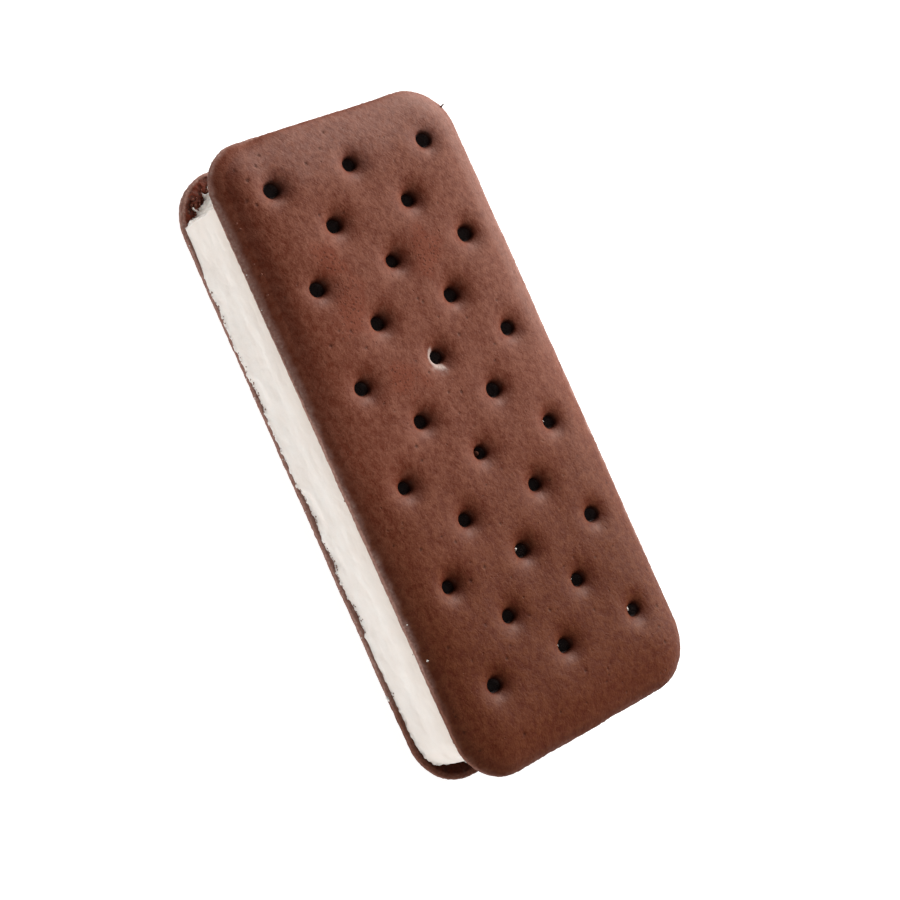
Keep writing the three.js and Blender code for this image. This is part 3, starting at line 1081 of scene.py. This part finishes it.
def bakedChocolate():
    # Soft-baked cocoa biscuit: a matt, finely leathery crust with tiny pores and a faint waxy sheen.
    # Painted shade darkens its pores, dimples and holes, the holes' far sides, the front shoulder and the
    # inner face at +X; painted light lifts the holes' depths and, with frost, the pale side next to the ice
    # cream; painted sheen lies beside each hole and over the rims
    material, tree = newMaterial("soft baked cocoa crust")
    where = addNode(tree, "TexCoord", {}).outputs["Object"]
    at = {"x": addNode(tree, "SeparateXYZ", {}, Vector=where).outputs["X"]}
    for name in ("hollow", "side", "inner", "pitted", "grainy", "paintedSheen", "frosty", "shadePainted"):
        at[name] = addNode(tree, "Attribute", {"attribute_name": name}).outputs["Fac"]

    # Patterns: broad patches, leathery mottling, fine grain, slanting creases, pores and specks
    slanted = addNode(tree, "Mapping", {"vector_type": "TEXTURE", "Scale": (4, 1, 1),
                                        "Rotation": (0, 0, math.radians(40))}, Vector=where)
    noises = {
        "patches": ({"Scale": 1 / (12 * mm), "Detail": 3}, where),
        "mottle": ({"Scale": 1 / (1.4 * mm), "Detail": 4, "Roughness": 0.74, "Distortion": 0.3}, where),
        "grain": ({"Scale": 1 / (0.5 * mm), "Detail": 2}, where),
        "creases": ({"Scale": 1 / (0.8 * mm), "Detail": 2, "Distortion": 1.6}, slanted.outputs[0]),
    }
    for name, (settings, place) in noises.items():
        at[name] = addNode(tree, "TexNoise", settings, Vector=place).outputs["Fac"]
    wobble = addNode(tree, "TexNoise", {"Scale": 1 / (0.7 * mm), "Detail": 1}, Vector=where)
    bent = addNode(tree, "VectorMath", {"operation": "MULTIPLY_ADD", 1: [0.5 * mm] * 3},
                   _0=wobble.outputs["Color"], _2=where).outputs[0]
    pores = addNode(tree, "TexVoronoi", {"Scale": 1 / (2.6 * mm)}, Vector=bent)
    specks = addNode(tree, "TexVoronoi", {"Scale": 1 / (0.72 * mm)}, Vector=bent)

    # What each is read from, the part of it that counts, and what it becomes
    ranges = {
        "poreSize": (pores.outputs["Color"], 0.3, 1, 0.05, 0.2),
        "browner": (at["x"], 0, 38 * mm, 0, 0.8),
        "crests": (at["mottle"], 0.38, 0.62, 0, 1),
        # painted shade: the crust is painted darker down into each dimple
        "dimpled": (at["hollow"], 0.3, 1, 0, 0.15),
        "powder": (at["grain"], 0.35, 0.65, 0.55, 0.95),
        "flecks": (at["grain"], 0.56, 0.7, 0, 0.12),
        "edge": (at["side"], 0.5, 1, 0, 1),
        # painted shade: the holes' walls are painted darker with depth
        "wall": (at["hollow"], 0.85, 1.35, 0, 0.9),
        # painted light: the holes' depths are painted a lighter grey, so that they are not black
        "depth": (at["hollow"], 1.35, 1.75, 0, 1),
        "patchy": (at["grain"], 0.3, 0.7, 0.55, 0.9),
        "creased": (at["x"], -25 * mm, -48 * mm, 0.06, 0.42),
    }
    for name, (source, low, high, least, most) in ranges.items():
        at[name] = addNode(tree, "MapRange", {1: low, 2: high, 3: least, 4: most}, _0=source).outputs[0]
    soft = {"interpolation_type": "SMOOTHSTEP", 3: 1, 4: 0}
    at["pore"] = addNode(tree, "MapRange", {**soft, 1: 0}, _0=pores.outputs["Distance"],
                         _2=at["poreSize"]).outputs[0]
    at["speck"] = addNode(tree, "MapRange", {**soft, 1: 0.12, 2: 0.42},
                          _0=specks.outputs["Distance"]).outputs[0]

    # Amounts, each the product of the first two and then the third added
    amounts = {
        "calmer": ("browner", -0.25, 0.5),
        "light": ("crests", "calmer", 0),
        "redder": ("grainy", 0.4, 0),
        "speckShare": ("grainy", 0.42, 0.12),
        "speckled": ("speckShare", "speck", 0),
        # painted shade: the pores and pits are painted darker
        "poreShade": ("pore", 0.4, 0),
        "pitShade": ("pitted", 0.8, "poreShade"),
        # painted shade on the holes' far sides, on the front shoulder and in the dimples
        "darker": ("shadePainted", 0.5, "dimpled"),
        # painted sheen beside the holes and at the end at -X
        "sheenPainted": ("paintedSheen", 0.2, 0),
        # frost and crumb on the side with painted light on it, and painted sheen over the rims
        "dustAndLight": ("powder", "side", 0),
        "icy": ("flecks", "edge", 0),
        # painted shade: the inner face's lighter crests fade out towards +X, where it lies under the upper
        # wafer
        "fewer": ("browner", -1, 1),
        "bareCrests": ("crests", "fewer", 0),
        "frozen": ("patchy", "frosty", 0),
        "folds": ("creases", "creased", "mottle"),
        "relief": ("grain", 0.5, "folds"),
        "sunkPores": ("pore", -0.6, "relief"),
        "sunkSpecks": ("speckled", -0.6, "sunkPores"),
        "duller": ("grainy", 0.1, 0.54),
    }
    for name, terms in amounts.items():
        settings = {index: term for index, term in enumerate(terms) if not isinstance(term, str)}
        links = {"_%d" % index: at[term] for index, term in enumerate(terms) if isinstance(term, str)}
        at[name] = addNode(tree, "Math", {"operation": "MULTIPLY_ADD", **settings}, **links).outputs[0]

    # Three mixed colours, and then all that are laid over each other, each by its amount
    mixes = {
        "base": ("patches", "#592412", "#6b301d"),
        "crest": ("browner", "#8a5542", "#844f2e"),
        # the inner face, darker towards +X as painted shade
        "bare": ("bareCrests", "#34140c", "#70301f"),
    }
    for name, (amount, first, second) in mixes.items():
        colours = {6: linear(first), 7: linear(second)}
        at[name] = addNode(tree, "Mix", {"data_type": "RGBA", **colours}, _0=at[amount]).outputs[2]
    layers = [
        ("browner", "#522010"), ("light", "crest"), ("redder", "#743420"), ("speckled", "#3a140c"),
        ("pitShade", "#38150d"), ("darker", "#451a12"), ("sheenPainted", "#b2968f"), ("dustAndLight", "#a07b70"),
        ("icy", "#cfc4bc"), ("inner", "bare"), ("wall", "#1f0a07"), ("depth", "#625a5a"),
        ("frozen", "#b8a59c"),
    ]
    colour = at["base"]
    for amount, over in layers:
        fixed = {} if over in at else {7: linear(over)}
        mixed = {"_7": at[over]} if over in at else {}
        colour = addNode(tree, "Mix", {"data_type": "RGBA", **fixed},
                         _0=at[amount], _6=colour, **mixed).outputs[2]

    bump = addNode(tree, "Bump", {"Strength": 0.7, "Distance": 0.15 * mm}, Height=at["sunkSpecks"])
    crust = addNode(tree, "BsdfPrincipled",
                    {"IOR": 1.45, "Specular IOR Level": 0.095, "Specular Tint": linear("#fffae2")},
                    Roughness=at["duller"], Base_Color=colour, Normal=bump.outputs["Normal"])
    addNode(tree, "OutputMaterial", {}, Surface=crust.outputs["BSDF"])
    return material


def frozenVanilla():
    # Vanilla ice cream: frozen milk foam, pale and slightly translucent, with a dull frosty cut face that
    # is painted greyer at the ends and under the upper wafer as painted shade, and whiter where it is torn
    # as painted light
    material, tree = newMaterial("frozen vanilla cream")
    where = addNode(tree, "TexCoord", {}).outputs["Object"]
    stretched = addNode(tree, "Mapping", {"Scale": (0.45, 0.45, 1)}, Vector=where)
    clouds = addNode(tree, "TexNoise", {"Scale": 1 / (2.5 * mm), "Detail": 4, "Roughness": 0.6},
                     Vector=stretched.outputs[0])
    grain = addNode(tree, "TexNoise", {"Scale": 1 / (0.4 * mm), "Detail": 2}, Vector=where)
    soft = addNode(tree, "MapRange", {1: 0.25, 2: 0.75, 3: 0, 4: 1}, _0=clouds.outputs["Fac"])
    colour = addNode(tree, "Mix", {"data_type": "RGBA", 6: linear("#f0e7df"), 7: linear("#f8f2ec")},
                     _0=soft.outputs[0])
    axes = addNode(tree, "SeparateXYZ", {}, Vector=where)
    # Painted shade: greyer towards the ends and under the upper wafer; the mix named icy carries it
    out = addNode(tree, "Math", {"operation": "ABSOLUTE"}, _0=axes.outputs["X"])
    ends = addNode(tree, "MapRange", {1: 38 * mm, 2: 56 * mm, 3: 0, 4: 0.35}, _0=out.outputs[0])
    upper = addNode(tree, "MapRange", {1: 10 * mm, 2: 15 * mm, 3: 0, 4: 0.8}, _0=axes.outputs["Z"])
    shade = addNode(tree, "Math", {"operation": "MAXIMUM"}, _0=ends.outputs[0], _1=upper.outputs[0])
    icy = addNode(tree, "Mix", {"data_type": "RGBA", 7: linear("#dacec3")}, _6=colour.outputs[2],
                  _0=shade.outputs[0])
    # painted light on the torn face
    tornPaintedLight = addNode(tree, "Attribute", {"attribute_name": "tornPaintedLight"}).outputs["Fac"]
    tornLightened = addNode(tree, "Mix", {"data_type": "RGBA", 7: linear("#fff5ec")}, _6=icy.outputs[2], _0=tornPaintedLight)
    bump = addNode(tree, "Bump", {"Strength": 0.25, "Distance": 0.08 * mm}, Height=grain.outputs["Fac"])
    foam = addNode(tree, "BsdfPrincipled",
                   {"Roughness": 0.55, "IOR": 1.36, "Specular IOR Level": 0.3, "Subsurface Weight": 0.4,
                    "Subsurface Radius": (1.0, 0.9, 0.85), "Subsurface Scale": 0.7 * mm},
                   Base_Color=tornLightened.outputs[2], Normal=bump.outputs["Normal"])
    addNode(tree, "OutputMaterial", {}, Surface=foam.outputs["BSDF"])
    return material


def lightTable():
    # Matt white acrylic, lit a little from below
    material, tree = newMaterial("white acrylic light table")
    acrylic = addNode(tree, "BsdfPrincipled",
                      {"Base Color": linear("#b8b6b4"), "Roughness": 0.8,
                       "Emission Color": linear("#ffffff"), "Emission Strength": studio["table"]})
    addNode(tree, "OutputMaterial", {}, Surface=acrylic.outputs["BSDF"])
    return material


# Camera, light and floor

studio = {
    "aim": Vector((4.15, -5.7, 18.7)) * mm,
    "distance": 424.6 * mm,
    "around": -0.86,  # degrees from looking along +Y
    "above": 51.9,
    "roll": 66.6,
    "lens": 96,
    "sensor": 36,
    "near": 0.01,
    "floor": 14.0,
    # Each lamp's place, size and power
    "lamps": {
        "key": (Vector((-0.213, 0.853, 0.477)) * 1.2, (1.1, 0.5), 27.5),
        "side": (Vector((-0.6, 0.646, 0.469)) * 1.2, (0.5, 0.5), 5.7),
        "fill": (Vector((0.45, -0.72, 0.2)), (0.4, 0.4), 2.65),
    },
    "table": 0.93,
    "world": 0.09,
}


def makeCamera():
    camera = bpy.data.objects.new("camera", bpy.data.cameras.new("camera"))
    bpy.context.scene.collection.objects.link(camera)
    camera.data.lens = studio["lens"]
    camera.data.sensor_width = studio["sensor"]
    camera.data.clip_start = studio["near"]
    around = math.radians(studio["around"])
    above = math.radians(studio["above"])
    level = math.cos(above)
    back = Vector((math.sin(around) * level, -math.cos(around) * level, math.sin(above)))
    roll = Matrix.Rotation(math.radians(studio["roll"]), 4, "Z")
    place = Matrix.Translation(studio["aim"] + back * studio["distance"])
    camera.matrix_world = place @ back.to_track_quat("Z", "Y").to_matrix().to_4x4() @ roll
    bpy.context.scene.camera = camera


def softLight(name, place, size, power):
    lamp = bpy.data.lights.new(name, "AREA")
    lamp.shape = "RECTANGLE"
    lamp.size, lamp.size_y = size
    lamp.energy = power
    light = bpy.data.objects.new(name, lamp)
    bpy.context.scene.collection.objects.link(light)
    light.location = place
    light.rotation_euler = place.to_track_quat("Z", "Y").to_euler()


def makeStudio():
    bm = bmesh.new()
    bmesh.ops.create_grid(bm, x_segments=1, y_segments=1, size=studio["floor"] / 2)
    floor = newObject("floor", bm)
    floor.data.materials.append(lightTable())
    for name, (place, size, power) in studio["lamps"].items():
        softLight(name, place, size, power)
    world = bpy.data.worlds.new("studio")
    world.use_nodes = True
    bpy.context.scene.world = world
    sky = world.node_tree.nodes["Background"].inputs
    sky["Color"].default_value = linear("#ffffff")
    sky["Strength"].default_value = studio["world"]
    view = bpy.context.scene.view_settings
    view.view_transform = "Standard"
    view.look = "None"
    print("studio ready")


makeCamera()
crust = bakedChocolate()
vanilla = frozenVanilla()
print("materials ready")
topWafer = makeWafer("top_wafer", topPlate, crust)
bottomWafer = makeWafer("bottom_wafer", bottomPlate, crust)
slab = makeCream(vanilla)
makeWaferCrumbs(slab, topWafer, crust)
makeCreamBits(topWafer, bottomWafer, vanilla)
makeStudio()
